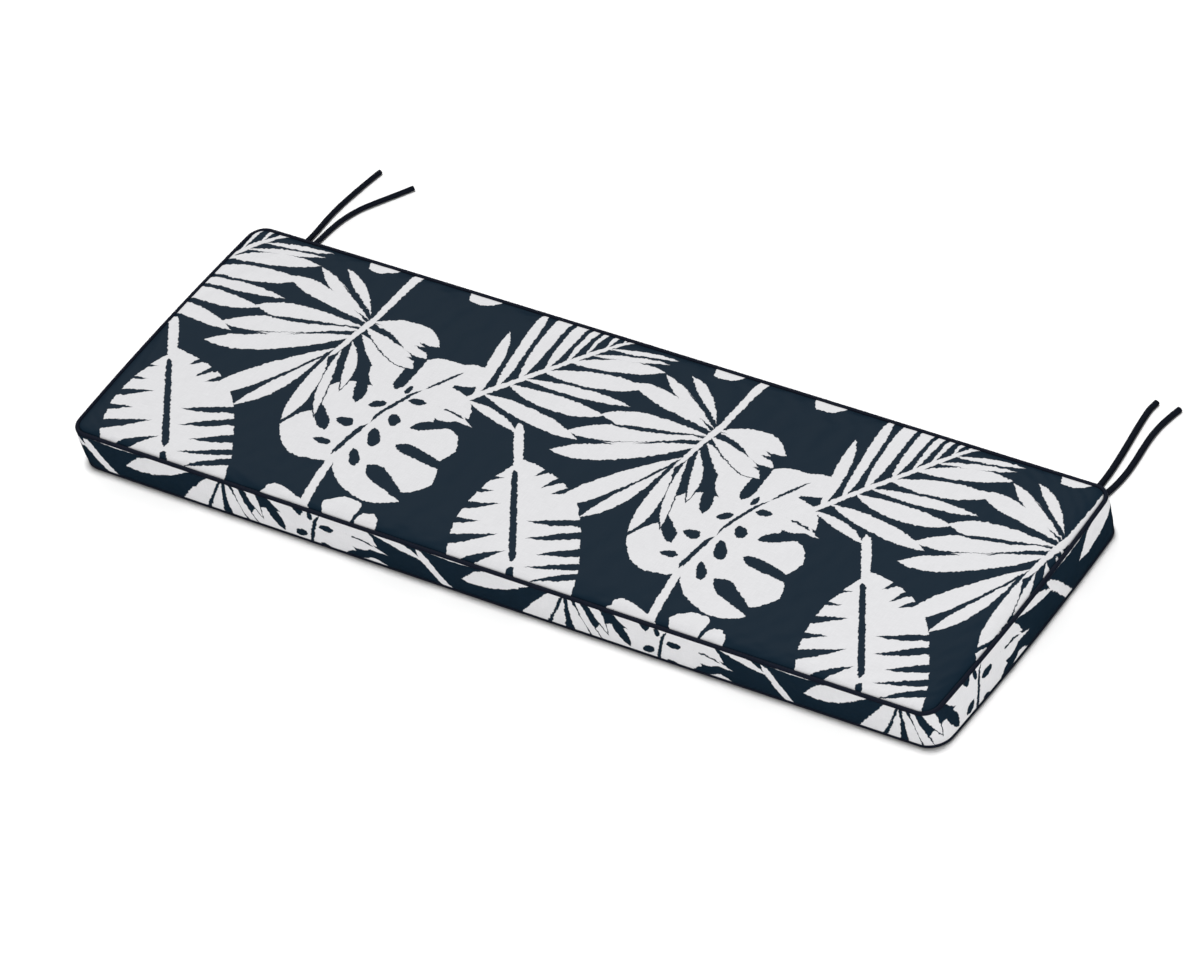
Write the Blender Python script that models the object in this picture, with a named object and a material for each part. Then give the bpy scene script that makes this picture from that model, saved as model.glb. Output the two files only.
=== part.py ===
"""Bench cushion: a long, thin box cushion with welted seams and two pairs of tie strings.

Metres, +Z up. X runs along the bench, +Y points to the back, where the ties are sewn in.
The origin is at the centre of the underside, on the surface that the cushion lies on.
"""

from math import cos, exp, pi, radians, sin

import bmesh
import bpy
from mathutils import Vector

# Driving dimensions
LENGTH = 1.420  # over the piping, at the middle of the ends
WIDTH = 0.445  # over the piping, at the middle of the long sides
CORD_R = 0.003  # piping, half its thickness
SEAM_RISE = 0.0595  # from the bottom piping's centre to the top one's
TIE_D = 0.0075  # a tie is a soft stitched tube of this thickness
GAP = 0.0003  # between pieces that touch on the real cushion

# The plan outline, along the piping's centre
TOP_CORNER = 0.022  # corner radius of the top panel
BOTTOM_CORNER = 0.028  # the bottom panel is drawn in a little more
END_BOW = 0.0055  # the filling pushes the ends out by this at their middle
SIDE_BOW = 0.0015  # and the long sides by this

# The section, measured outwards from the piping's centre and up from the seam
GROOVE_R = CORD_R + GAP  # the cloth wraps the piping at this radius
BOTTOM_WRAP = (225, 60)  # degrees round the bottom piping, from the bottom panel to the boxing
TOP_WRAP = (-60, -210)  # and round the top one, from the boxing to the top panel
BOXING_TUCK = 0.0024  # the boxing leaves each seam this far out and this far from the piping's centre
BOXING_BULGE = 0.0020  # how much further it stands out at half height
BOXING_FULLNESS = 0.7  # under 1 it is full close to the seams, as over foam
PANEL_LIFT = 0.0017  # the top panel leaves its seam this far above the piping's centre
EDGE_RISE = 0.0045  # rise of the panel over the rounded edge of the foam
EDGE_ROLL = 0.009  # how quickly it rises
CROWN = 0.0025  # further rise to the middle
CROWN_REACH = 0.200  # distance from the seam at which the crown is full
PANEL_STEPS = (0.0047, 0.007, 0.011, 0.017, 0.027, 0.045, 0.075, 0.115, 0.160, 0.200)
UNDERSIDE_INSET = 0.0062  # the flat underside starts this far inside the piping's centre
UNDERSIDE_TURN = (0.0040, 0.0004)  # inset and height where it starts to turn up to its seam
SHARPEST_CORNER = 0.006  # corner radius of the rings inside the panel

BOTTOM_Z = CORD_R + GAP  # the bottom piping is held just clear of the surface
TOP_Z = BOTTOM_Z + SEAM_RISE
HALF_X = LENGTH / 2 - CORD_R - END_BOW
HALF_Y = WIDTH / 2 - CORD_R - SIDE_BOW

CORNER_STEPS, SIDE_STEPS, END_STEPS = 6, 14, 6
BOXING_STEPS, WRAP_STEPS = 7, 4
CREASE_ANGLE = 50  # degrees; flatter edges are shaded smooth

# Ties: each leaves the bottom back seam, drops over the piping and lies on the surface.
TIE_SEAT_Z = BOTTOM_Z + CORD_R + GAP + TIE_D / 2  # it rides just over the bottom piping
TIE_SEAT_Y = HALF_Y + 0.0042  # clear of the boxing
LAY_Z = TIE_D / 2 + 0.0001  # a tie's centre where it lies on the surface
TIE_ROUTES = {
    "tie_left_outer": [
        (-0.6710, TIE_SEAT_Y, TIE_SEAT_Z), (-0.6710, 0.2290, 0.0100), (-0.6708, 0.2400, 0.0078),
        (-0.6706, 0.2530, 0.0050), (-0.6703, 0.2700, LAY_Z), (-0.6700, 0.2900, LAY_Z),
        (-0.6706, 0.3100, LAY_Z), (-0.6706, 0.3320, LAY_Z), (-0.6688, 0.3560, LAY_Z),
        (-0.6652, 0.3820, LAY_Z), (-0.6612, 0.4070, LAY_Z), (-0.6572, 0.4280, LAY_Z),
    ],
    "tie_left_inner": [
        (-0.6585, TIE_SEAT_Y, TIE_SEAT_Z), (-0.6583, 0.2290, 0.0100), (-0.6577, 0.2400, 0.0078),
        (-0.6568, 0.2540, 0.0050), (-0.6557, 0.2720, LAY_Z), (-0.6544, 0.2880, LAY_Z),
        (-0.6526, 0.3040, LAY_Z), (-0.6500, 0.3190, LAY_Z), (-0.6450, 0.3350, LAY_Z),
        (-0.6366, 0.3530, LAY_Z), (-0.6248, 0.3700, LAY_Z), (-0.6090, 0.3910, LAY_Z),
        (-0.5900, 0.4170, LAY_Z),
    ],
    "tie_right_inner": [
        (0.6395, TIE_SEAT_Y, TIE_SEAT_Z), (0.6395, 0.2290, 0.0100), (0.6395, 0.2400, 0.0078),
        (0.6396, 0.2530, 0.0050), (0.6396, 0.2700, LAY_Z), (0.6393, 0.2910, LAY_Z),
        (0.6376, 0.3130, LAY_Z), (0.6344, 0.3400, LAY_Z), (0.6303, 0.3700, LAY_Z),
        (0.6270, 0.3970, LAY_Z), (0.6256, 0.4160, LAY_Z), (0.6275, 0.4320, LAY_Z),
    ],
    "tie_right_outer": [
        (0.6510, TIE_SEAT_Y, TIE_SEAT_Z), (0.6514, 0.2290, 0.0100), (0.6526, 0.2400, 0.0078),
        (0.6545, 0.2520, 0.0050), (0.6574, 0.2680, LAY_Z), (0.6597, 0.2860, LAY_Z),
        (0.6602, 0.3060, LAY_Z), (0.6586, 0.3290, LAY_Z), (0.6560, 0.3520, LAY_Z),
        (0.6545, 0.3740, LAY_Z), (0.6553, 0.3950, LAY_Z), (0.6588, 0.4150, LAY_Z),
        (0.6630, 0.4320, LAY_Z),
    ],
}
TIE_SPACING = 2.2 * TIE_D  # between the points of a tie's tube


def material(name, colour, roughness):
    """A plain cloth finish."""
    made = bpy.data.materials.new(name)
    made.use_nodes = True
    shader = made.node_tree.nodes["Principled BSDF"]
    shader.inputs["Base Color"].default_value = (*colour, 1.0)
    shader.inputs["Roughness"].default_value = roughness
    shader.inputs["Metallic"].default_value = 0.0
    return made


def outline(out, corner, z):
    """The plan outline moved outwards by out, as a ring of points, anticlockwise from above."""
    half = Vector((HALF_X + out, HALF_Y + out))
    radius = max(corner + out, SHARPEST_CORNER)
    flat = half - Vector((radius, radius))
    ring = []
    sides = ((1, 1, SIDE_STEPS), (-1, 1, END_STEPS), (-1, -1, SIDE_STEPS), (1, -1, END_STEPS))
    for turn, (sx, sy, steps) in enumerate(sides):
        for i in range(CORNER_STEPS + 1):
            angle = radians(90 * (turn + i / CORNER_STEPS))
            ring.append(Vector((sx * flat.x + radius * cos(angle), sy * flat.y + radius * sin(angle), z)))
        for i in range(1, steps):
            along = 1 - 2 * i / steps
            if turn % 2 == 0:
                ring.append(Vector((sx * along * flat.x, sy * half.y, z)))
            else:
                ring.append(Vector((sx * half.x, sy * along * flat.y, z)))
    for point in ring:
        across, along = point.y / half.y, point.x / half.x
        point.x += END_BOW * along * (1 - across * across)
        point.y += SIDE_BOW * across * (1 - along * along)
    return ring


def seam_wrap(z, wrap, corner):
    """Rings where the cloth wraps the inner side of a piping, by the angle round its centre."""
    rings = []
    start, stop = wrap
    for i in range(WRAP_STEPS + 1):
        angle = radians(start + (stop - start) * i / WRAP_STEPS)
        rings.append(outline(GROOVE_R * cos(angle), corner, z + GROOVE_R * sin(angle)))
    return rings


def boxing_rings():
    """The band between the seams, fullest at half height."""
    low, high = BOTTOM_Z + BOXING_TUCK, TOP_Z - BOXING_TUCK
    rings = []
    for i in range(BOXING_STEPS + 1):
        up = i / BOXING_STEPS
        corner = BOTTOM_CORNER + (TOP_CORNER - BOTTOM_CORNER) * up
        out = BOXING_TUCK + BOXING_BULGE * sin(pi * up) ** BOXING_FULLNESS
        rings.append(outline(out, corner, low + (high - low) * up))
    return rings


def panel_height(inset):
    """Height of the top panel at a distance inside the piping's centre."""
    edge = EDGE_RISE * (1 - exp(-(inset - CORD_R) / EDGE_ROLL))
    crown = CROWN * sin(pi / 2 * min(inset / CROWN_REACH, 1))
    return TOP_Z + PANEL_LIFT + edge + crown


def filled_body():
    """The cushion: flat underside, boxing drawn in at both seams, crowned top panel."""
    turn_in, turn_up = UNDERSIDE_TURN
    rings = [outline(-UNDERSIDE_INSET, BOTTOM_CORNER, 0.0), outline(-turn_in, BOTTOM_CORNER, turn_up)]
    rings += seam_wrap(BOTTOM_Z, BOTTOM_WRAP, BOTTOM_CORNER)
    rings += boxing_rings()
    rings += seam_wrap(TOP_Z, TOP_WRAP, TOP_CORNER)
    rings += [outline(-inset, TOP_CORNER, panel_height(inset)) for inset in PANEL_STEPS]

    bm = bmesh.new()
    loops = [[bm.verts.new(point) for point in ring] for ring in rings]
    bm.faces.new(reversed(loops[0]))
    for lower, upper in zip(loops, loops[1:]):
        for i in range(len(lower)):
            bm.faces.new((lower[i - 1], lower[i], upper[i], upper[i - 1]))
    bm.faces.new(loops[-1])
    bmesh.ops.recalc_face_normals(bm, faces=bm.faces)
    mesh = bpy.data.meshes.new("cushion")
    bm.to_mesh(mesh)
    bm.free()
    mesh.shade_smooth()
    mesh.set_sharp_from_angle(angle=radians(CREASE_ANGLE))
    return add_object("cushion", mesh, PRINTED_CLOTH)


def add_object(name, data, finish):
    """Puts a mesh or curve in the scene under its own name and finish."""
    made = bpy.data.objects.new(name, data)
    data.materials.append(finish)
    bpy.context.scene.collection.objects.link(made)
    return made


def round_tube(name, points, radius, closed, finish):
    """A tube along a line of points: a closed loop of piping, or a tie with filled ends."""
    curve = bpy.data.curves.new(name, "CURVE")
    curve.dimensions = "3D"
    curve.twist_mode = "Z_UP"
    curve.bevel_depth = radius
    curve.bevel_resolution = 2
    curve.use_fill_caps = not closed
    spline = curve.splines.new("POLY")
    spline.points.add(len(points) - 1)
    for spot, point in zip(spline.points, points):
        spot.co = (*point, 1.0)
    spline.use_cyclic_u = closed
    spline.use_smooth = True
    return add_object(name, curve, finish)


def smooth_line(route, spacing):
    """Points a given distance apart on a smooth curve through a route's points."""
    spots = [Vector(point) for point in route]
    spots = [2 * spots[0] - spots[1], *spots, 2 * spots[-1] - spots[-2]]
    fine = []
    for a, b, c, d in zip(spots, spots[1:], spots[2:], spots[3:]):
        for i in range(12):
            t = i / 12
            bend = (2 * b, c - a, 2 * a - 5 * b + 4 * c - d, 3 * b - a - 3 * c + d)
            fine.append(0.5 * (bend[0] + bend[1] * t + bend[2] * t**2 + bend[3] * t**3))
    fine.append(spots[-2])
    length = sum((q - p).length for p, q in zip(fine, fine[1:]))
    count = round(length / spacing)
    line, walked, step = [fine[0]], 0.0, length / count
    for p, q in zip(fine, fine[1:]):
        part = (q - p).length
        while walked + part >= step * len(line) and len(line) < count:
            line.append(p.lerp(q, (step * len(line) - walked) / part))
        walked += part
    return [*line, fine[-1]]


for leftover in list(bpy.data.objects):
    bpy.data.objects.remove(leftover)

PRINTED_CLOTH = material("printed_cloth", (0.022, 0.040, 0.060), 0.85)
PIPING_CLOTH = material("piping_cloth", (0.009, 0.010, 0.020), 0.75)
TIE_CLOTH = material("tie_cloth", (0.006, 0.009, 0.018), 0.75)

filled_body()
round_tube("piping_top", outline(0, TOP_CORNER, TOP_Z), CORD_R, True, PIPING_CLOTH)
round_tube("piping_bottom", outline(0, BOTTOM_CORNER, BOTTOM_Z), CORD_R, True, PIPING_CLOTH)
for tie_name, tie_route in TIE_ROUTES.items():
    round_tube(tie_name, smooth_line(tie_route, TIE_SPACING), TIE_D / 2, False, TIE_CLOTH)
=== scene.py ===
"""Bench cushion, dressed: a leaf-printed box cushion with piped seams and two pairs of tie strings.

Metres, +Z up. X runs along the bench, +Y points to the back, and the cushion lies on z = 0.
"""

from collections import namedtuple
from math import atan2, cos, exp, hypot, pi, radians, sin, sqrt

import bmesh
import bpy
from bpy.props import FloatProperty, FloatVectorProperty, IntProperty, PointerProperty
from mathutils import Matrix, Vector, noise


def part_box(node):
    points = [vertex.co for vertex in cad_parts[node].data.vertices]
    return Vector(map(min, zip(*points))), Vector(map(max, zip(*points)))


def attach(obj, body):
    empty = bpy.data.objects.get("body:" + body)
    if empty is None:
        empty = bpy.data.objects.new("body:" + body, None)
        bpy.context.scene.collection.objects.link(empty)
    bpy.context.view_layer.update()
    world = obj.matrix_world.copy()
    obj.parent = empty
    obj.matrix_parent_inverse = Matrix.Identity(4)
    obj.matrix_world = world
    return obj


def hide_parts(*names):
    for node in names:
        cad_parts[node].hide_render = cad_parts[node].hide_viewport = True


bl_info = {
    "name": "Bench Cushion",
    "version": (1, 0, 0),
    "blender": (4, 5, 0),
    "location": "3D View > Sidebar > Cushion",
    "description": "A leaf-printed bench cushion with piped seams and tie strings",
    "category": "Add Mesh",
}

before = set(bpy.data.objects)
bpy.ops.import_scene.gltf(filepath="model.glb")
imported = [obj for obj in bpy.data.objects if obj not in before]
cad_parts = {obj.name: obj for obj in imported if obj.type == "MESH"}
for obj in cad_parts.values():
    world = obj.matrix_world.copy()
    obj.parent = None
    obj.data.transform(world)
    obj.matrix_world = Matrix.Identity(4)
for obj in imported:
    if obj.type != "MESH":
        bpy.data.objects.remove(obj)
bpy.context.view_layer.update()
PIPING_LOW, PIPING_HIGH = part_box("piping_top")
BASE_PIPING_LOW, BASE_PIPING_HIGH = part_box("piping_bottom")

# Each tie's route, from the bottom back seam to its free end, in metres. TIE_SEAT is the y and z of its
# start, and LAY_Z is the height of its centre where it lies on the surface.
TIE_SEAT = (0.2222, 0.01035)
LAY_Z = 0.00385
TIE_ROUTES = {
    "tie_left_outer": [
        (-0.6710, *TIE_SEAT), (-0.6710, 0.2290, 0.0100), (-0.6708, 0.2400, 0.0078),
        (-0.6706, 0.2530, 0.0050), (-0.6703, 0.2700, LAY_Z), (-0.6700, 0.2900, LAY_Z),
        (-0.6706, 0.3100, LAY_Z), (-0.6706, 0.3320, LAY_Z), (-0.6688, 0.3560, LAY_Z),
        (-0.6652, 0.3820, LAY_Z), (-0.6612, 0.4070, LAY_Z), (-0.6572, 0.4280, LAY_Z),
    ],
    "tie_left_inner": [
        (-0.6585, *TIE_SEAT), (-0.6583, 0.2290, 0.0100), (-0.6577, 0.2400, 0.0078),
        (-0.6568, 0.2540, 0.0050), (-0.6557, 0.2720, LAY_Z), (-0.6544, 0.2880, LAY_Z),
        (-0.6526, 0.3040, LAY_Z), (-0.6500, 0.3190, LAY_Z), (-0.6450, 0.3350, LAY_Z),
        (-0.6366, 0.3530, LAY_Z), (-0.6248, 0.3700, LAY_Z), (-0.6090, 0.3910, LAY_Z),
        (-0.5900, 0.4170, LAY_Z),
    ],
    "tie_right_inner": [
        (0.6395, *TIE_SEAT), (0.6395, 0.2290, 0.0100), (0.6395, 0.2400, 0.0078),
        (0.6396, 0.2530, 0.0050), (0.6396, 0.2700, LAY_Z), (0.6393, 0.2910, LAY_Z),
        (0.6376, 0.3130, LAY_Z), (0.6344, 0.3400, LAY_Z), (0.6303, 0.3700, LAY_Z),
        (0.6270, 0.3970, LAY_Z), (0.6256, 0.4160, LAY_Z), (0.6275, 0.4320, LAY_Z),
    ],
    "tie_right_outer": [
        (0.6510, *TIE_SEAT), (0.6514, 0.2290, 0.0100), (0.6526, 0.2400, 0.0078),
        (0.6545, 0.2520, 0.0050), (0.6574, 0.2680, LAY_Z), (0.6597, 0.2860, LAY_Z),
        (0.6602, 0.3060, LAY_Z), (0.6586, 0.3290, LAY_Z), (0.6560, 0.3520, LAY_Z),
        (0.6545, 0.3740, LAY_Z), (0.6553, 0.3950, LAY_Z), (0.6588, 0.4150, LAY_Z),
        (0.6630, 0.4320, LAY_Z),
    ],
}
# How thick each pair looks beside the Tie setting, and where the stitches run round a tie
TIE_FULLNESS = {"tie_left": 0.97, "tie_right": 1.08}
TIE_STITCHES = 0.0030

# The print. Each part of a leaf is a Blade: from its root to its tip in metres, its half width, how far it
# bows to the left, where it is widest (lean over 0 is nearer the tip) and how blunt its ends are (2 is
# pointed). All are placed in one repeat of the cloth.
Blade = namedtuple("Blade", "x0 y0 x1 y1 half bow lean blunt", defaults=(0.0, 0.0, 2.0))
REPEAT = 0.568
# The panels' print grows denser to the right: a place on the cloth is x * (1 + EASE * x)
EASE = 0.052
# Where along the repeat the middle of each leaf's own stretch is
FROND_AT, FAN_AT, HOLED_AT, SPLIT_AT, CUT_AT = -0.10, 0.115, 0.28, 0.02, 0.23
# Uneven edges: scale and detail of each noise, and how far it moves the print
UNEVEN = ((90.0, 1.0, 0.0028), (210.0, 2.0, 0.0050))
# Navy left between the fan and the holed leaf, and the width over which a leaf's edge fades
LEAF_GAP = 0.0018
FADE = 0.0008

# Feathery frond: leaflets above and below a rib. Share of the rib, reach, rise, half width, bow, blunt
ABOVE_RIB = [
    (0.12, -0.027, 0.130, 0.0092, -0.003, 2.6), (0.23, -0.022, 0.170, 0.0080, -0.001, 3),
    (0.35, -0.010, 0.200, 0.0112, 0.002, 3), (0.49, -0.002, 0.170, 0.0090, 0.001, 3),
    (0.60, 0.006, 0.150, 0.0055, 0.001, 3), (0.70, 0.005, 0.140, 0.0042, 0, 3),
    (0.81, 0.004, 0.130, 0.0038, 0, 3), (0.90, 0.004, 0.120, 0.0030, 0, 3),
]
BELOW_RIB = [
    (0.10, 0.098, -0.026, 0.0072, 0.003, 2.2), (0.185, 0.170, -0.026, 0.0118, 0.001, 2.4),
    (0.315, 0.158, -0.002, 0.0132, -0.006, 2.4), (0.39, 0.168, 0.010, 0.0082, 0.001, 2.2),
    (0.50, 0.150, 0.024, 0.0140, -0.001, 2.4), (0.635, 0.136, 0.032, 0.0118, 0.003, 2.2),
    (0.75, 0.112, 0.026, 0.0046, 0.001, 2.2), (0.85, 0.102, 0.018, 0.0044, 0.001, 2.2),
]
FROND = [
    (-0.245, -0.024, -0.028, 0.248, 0.0042, 0.004, -0.2, 6), (-0.226, 0.004, -0.165, -0.008, 0.004),
    (-0.212, 0.026, -0.178, -0.004, 0.0022),
]
RIB_START, RIB_SPAN, RIB_SAG = (-0.217, 0.010), (0.165, 0.228), 0.020
LEAFLET_LEAN = 0.12
for leaflets, side in ((ABOVE_RIB, -1), (BELOW_RIB, 1)):
    for t, reach, rise, half, bow, blunt in leaflets:
        x = RIB_START[0] + RIB_SPAN[0] * t
        y = RIB_START[1] + RIB_SPAN[1] * t - RIB_SAG * t * t
        FROND.append((x - 0.001 * side, y, x + reach, y + rise, half, bow, LEAFLET_LEAN, blunt))

# Fan palm: blades round a hub, a stem and a spine; then the gaps between the blades that touch
FAN = [
    (0.146, 0.122, 0.062, 0.188, 0.0070, -0.004, 0.45), (0.149, 0.113, 0.027, 0.177, 0.0082, 0.002, 0.45),
    (0.150, 0.106, -0.008, 0.147, 0.0112, -0.004, 0.6, 2.4),
    (0.152, 0.099, -0.014, 0.080, 0.0140, 0, 0.55, 2.4),
    (0.152, 0.092, -0.040, 0.034, 0.0140, -0.002, 0.45, 2.6),
    (0.152, 0.082, -0.040, -0.004, 0.0158, 0.006, 0.4, 2.6),
    (0.140, 0.052, 0.020, -0.094, 0.0150, 0, 0.5, 2.6),
    (0.131, 0.026, 0.072, -0.096, 0.0105, 0.006, 0.35),
    (0.138, 0.034, 0.151, -0.094, 0.0115, 0.003, 0.3, 2.4),
    (0.148, 0.052, 0.187, -0.070, 0.0068, -0.004, 0.3), (0.152, 0.070, 0.192, -0.016, 0.0080, 0.006, 0.2),
    (0.152, 0.100, 0.262, 0.056, 0.0120, 0, 0.5, 2.6),
    (0.160, 0.110, 0.268, 0.079, 0.0095, 0.004, 0.6, 2.6),
    (0.156, 0.112, 0.271, 0.105, 0.0140, 0.010, 0.35, 2.4),
    (0.160, 0.262, 0.152, 0.085, 0.0062, 0.003, -0.35, 6),
    (0.153, 0.125, 0.138, 0.030, 0.0045, 0.002, 0, 5),
]
FAN_GAPS = [
    (0.162, 0.107, 0.226, 0.084, 0.0038, 0.002, -0.2), (0.238, 0.094, 0.290, 0.091, 0.0036),
    (0.240, 0.072, 0.290, 0.069, 0.0036), (0.146, 0.088, 0.062, 0.048, 0.0020, -0.001, -0.2),
    (0.036, 0.038, -0.060, 0.010, 0.0050, 0, 0.4), (0.150, 0.118, 0.072, 0.160, 0.0016, 0, -0.2),
    (0.146, 0.0975, 0.002, 0.067, 0.0034, 0.0035, 0.4),
]

# Holed leaf: its lobes; then its slots, holes and rib, and its stem
LOBES = [
    (0.262, -0.030, 0.318, 0.088, 0.0380, 0.004, 0, 4), (0.264, 0.054, 0.372, 0.080, 0.0205, 0, 0, 8),
    (0.290, 0.030, 0.390, 0.003, 0.0270, 0, 0, 3), (0.250, -0.012, 0.350, -0.030, 0.0330, 0, 0, 4),
    (0.262, -0.062, 0.410, -0.056, 0.0350, 0, 0, 6), (0.262, -0.092, 0.416, -0.120, 0.0350, 0, 0.1, 5),
    (0.254, -0.115, 0.392, -0.164, 0.0260, -0.008, 0.1, 2.6),
    (0.292, -0.078, 0.154, -0.102, 0.0460, 0.006, 0, 3), (0.292, -0.030, 0.164, -0.034, 0.0380, 0, 0, 4),
    (0.292, 0.000, 0.205, 0.060, 0.0300, 0, 0, 3), (0.156, 0.086, 0.232, 0.030, 0.0100, 0.003, 0.3, 2.4),
]
HOLES = [
    (0.325, -0.041, 0.408, -0.004, 0.0070, 0.003, -0.45, 5),
    (0.325, -0.075, 0.436, -0.094, 0.0078, 0.002, -0.45, 5),
    (0.311, -0.122, 0.402, -0.164, 0.0100, 0.002, -0.6, 4),
    (0.192, 0.038, 0.226, -0.028, 0.0080, 0.004, 0.5, 3.5),
    (0.262, 0.090, 0.261, 0.013, 0.0095, 0, 0.1, 6),
    (0.166, -0.042, 0.217, -0.088, 0.0085, 0.002, 0.3, 4.5),
    (0.281, 0.027, 0.280, 0.010, 0.0045, 0, 0, 3), (0.246, -0.026, 0.268, -0.014, 0.0065, 0, 0, 3),
    (0.220, -0.064, 0.248, -0.064, 0.0075, 0, 0.3, 3), (0.212, -0.108, 0.240, -0.105, 0.0055, 0, 0.3, 3),
    (0.292, 0.002, 0.318, 0.006, 0.0055, 0, 0, 3), (0.286, -0.028, 0.304, -0.045, 0.0080, 0, 0.2, 4),
    (0.279, -0.060, 0.299, -0.090, 0.0085, 0, 0.2, 4), (0.276, -0.102, 0.296, -0.130, 0.0068, 0, 0.2, 4),
    (0.332, 0.076, 0.300, 0.028, 0.0022, 0, 0, 4), (0.300, 0.026, 0.268, -0.054, 0.0030, -0.006, 0, 4),
    (0.267, -0.056, 0.256, -0.126, 0.0040, -0.004, 0, 6),
    (0.340, 0.008, 0.392, 0.001, 0.0030, -0.001, 0.2),
]
LEAF_STEM = [(0.256, -0.116, 0.274, -0.240, 0.0065, 0, 0.1, 6)]

# Split leaf: the whole leaf, its stem, its rib, and the slits in from both edges
SPLIT_LEAF = [(-0.062, -0.033, 0.112, -0.330, 0.0915, -0.002, 0.12, 3.2)]
SPLIT_STEM = [(-0.109, 0.022, -0.046, -0.072, 0.0066, 0.001, -0.1, 8)]
SPLIT_RIB = [
    (-0.063, -0.054, 0.033, -0.198, 0.0048, 0.001, 0.12, 24),
    (0.036, -0.205, 0.060, -0.260, 0.0052, 0, 0, 24),
]
SLITS = [
    (-0.116, -0.092, -0.066, -0.072, 0.0042, 0, -0.3), (-0.128, -0.116, -0.066, -0.098, 0.0046, 0, -0.3),
    (-0.130, -0.150, -0.044, -0.114, 0.0062, -0.002, -0.3),
    (-0.130, -0.184, -0.052, -0.152, 0.0062, 0.002, -0.3),
    (-0.120, -0.212, -0.014, -0.162, 0.0080, -0.004, -0.3),
    (-0.060, -0.250, 0.014, -0.184, 0.0075, 0.003, -0.3),
    (-0.008, -0.026, -0.030, -0.054, 0.0042, 0, -0.3), (0.016, -0.034, -0.008, -0.070, 0.0046, 0, -0.3),
    (0.036, -0.052, 0.010, -0.074, 0.0040, 0, -0.3), (0.098, -0.092, 0.010, -0.128, 0.0055, 0.004, -0.2),
    (0.120, -0.106, 0.026, -0.155, 0.0062, 0.003, -0.2),
    (0.150, -0.130, 0.056, -0.174, 0.0070, 0.002, -0.3),
    (0.170, -0.150, 0.054, -0.199, 0.0055, 0.003, -0.3),
    (0.180, -0.170, 0.072, -0.218, 0.0060, -0.002, -0.3),
]
# Each slit opens towards the leaf's edge, on its lower side
SLIT_OPENING = 0.012
SLITS += [(x0, y0 - SLIT_OPENING, x0 + 0.5 * (x1 - x0), y0 + 0.5 * (y1 - y0), half * 0.9, 0, -0.3)
          for x0, y0, x1, y1, half, *_ in SLITS]

# Parts of other leaves, which the two long seams cut off
CUT_LEAVES = [
    (0.098, 0.245, 0.110, 0.199, 0.0240, 0, -0.15, 8), (0.262, 0.246, 0.279, 0.1985, 0.0255, 0, -0.15, 8),
    (0.204, -0.204, 0.286, -0.226, 0.0120, 0, -0.1, 5),
    (0.3365, -0.246, 0.3185, -0.184, 0.0220, 0, 0.6, 6),
    (0.366, -0.246, 0.374, -0.195, 0.0165, 0, 0.1, 4), (0.198, -0.228, 0.212, -0.206, 0.005),
]


# ---------------------------------------------------------------------------
# Settings


def length(text, about, default):
    """A size in metres that a user may change."""
    return FloatProperty(name=text, description=about, default=default, unit="LENGTH", precision=4)


def tint(text, about, default):
    """A colour that a user may change."""
    return FloatVectorProperty(
        name=text, description=about, default=default, subtype="COLOR", min=0.0, max=1.0,
    )


class CoverSizes(bpy.types.PropertyGroup):
    """Sizes of the filled cover."""

    end_bow: length("End Bow", "How far the filling pushes the ends out at their middle", 0.0055)
    side_bow: length("Side Bow", "How far the filling pushes the long sides out at their middle", 0.0015)
    top_corner: length("Top Corner", "Corner radius of the top panel", 0.022)
    bottom_corner: length("Bottom Corner", "Corner radius of the bottom panel", 0.028)
    edge_rise: length("Edge Rise", "Rise of the top panel over the rounded edge of the foam", 0.0045)
    edge_roll: length("Edge Roll", "How quickly the panel rises over that edge", 0.009)
    crown: length("Crown", "Further rise of the top panel to its middle, before it is filled", 0.0003)
    bulge: length("Bulge", "How far the boxing stands out between its seams, before it is filled", 0.0013)
    swell: length("Swell", "The most that filling the cover may move its cloth", 0.0025)
    columns: IntProperty(name="Columns", description="Faces along the panels", default=144, min=20)
    rows: IntProperty(name="Rows", description="Faces across the panels", default=46, min=8)


class TrimSizes(bpy.types.PropertyGroup):
    """Sizes of the piping and the ties."""

    piping: length("Piping", "Thickness of the piping", 0.006)
    tie: length("Tie", "Thickness of a tie", 0.0075)
    tie_length: length("Tie Length", "Length of a tie from its seam to its free end", 0.210)


class ClothColours(bpy.types.PropertyGroup):
    """Colours of the cloths."""

    ground: tint("Ground", "Navy ground of the printed cloth", (0.0052, 0.0180, 0.0335))
    leaves: tint("Leaves", "Off-white of the printed leaves", (0.72, 0.72, 0.735))
    piping: tint("Piping", "Bias-cut cloth of the piping", (0.0065, 0.0098, 0.0210))
    ties: tint("Ties", "Cloth of the ties", (0.0040, 0.0065, 0.0140))


class StageSettings(bpy.types.PropertyGroup):
    """Camera, floor and light."""

    azimuth: FloatProperty(name="Azimuth", description="Direction of the camera", default=radians(45.902),
                           subtype="ANGLE")
    elevation: FloatProperty(name="Elevation", description="Height of the camera over the horizon",
                             default=radians(41.661), subtype="ANGLE")
    roll: FloatProperty(name="Roll", description="Turn of the camera about its line of sight",
                        default=radians(-16.569), subtype="ANGLE")
    distance: length("Distance", "From the camera to the point that it looks at", 9.5023)
    lens: FloatProperty(name="Lens", description="Focal length in millimetres", default=216.64)
    target: FloatVectorProperty(name="Target", description="The point that the camera looks at",
                                default=(0.02735, 0.00296, 0.033), subtype="XYZ", unit="LENGTH")
    daylight: FloatProperty(name="Daylight", description="Strength of the light from all round", default=0.75)
    key: FloatProperty(name="Key", description="Strength of the soft light from behind", default=1.1)
    overhead: FloatProperty(name="Overhead", description="Strength of the light that whitens the floor",
                            default=4.6)
    fill: FloatProperty(name="Fill", description="Strength of the lamp at the front right", default=18.0)


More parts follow.
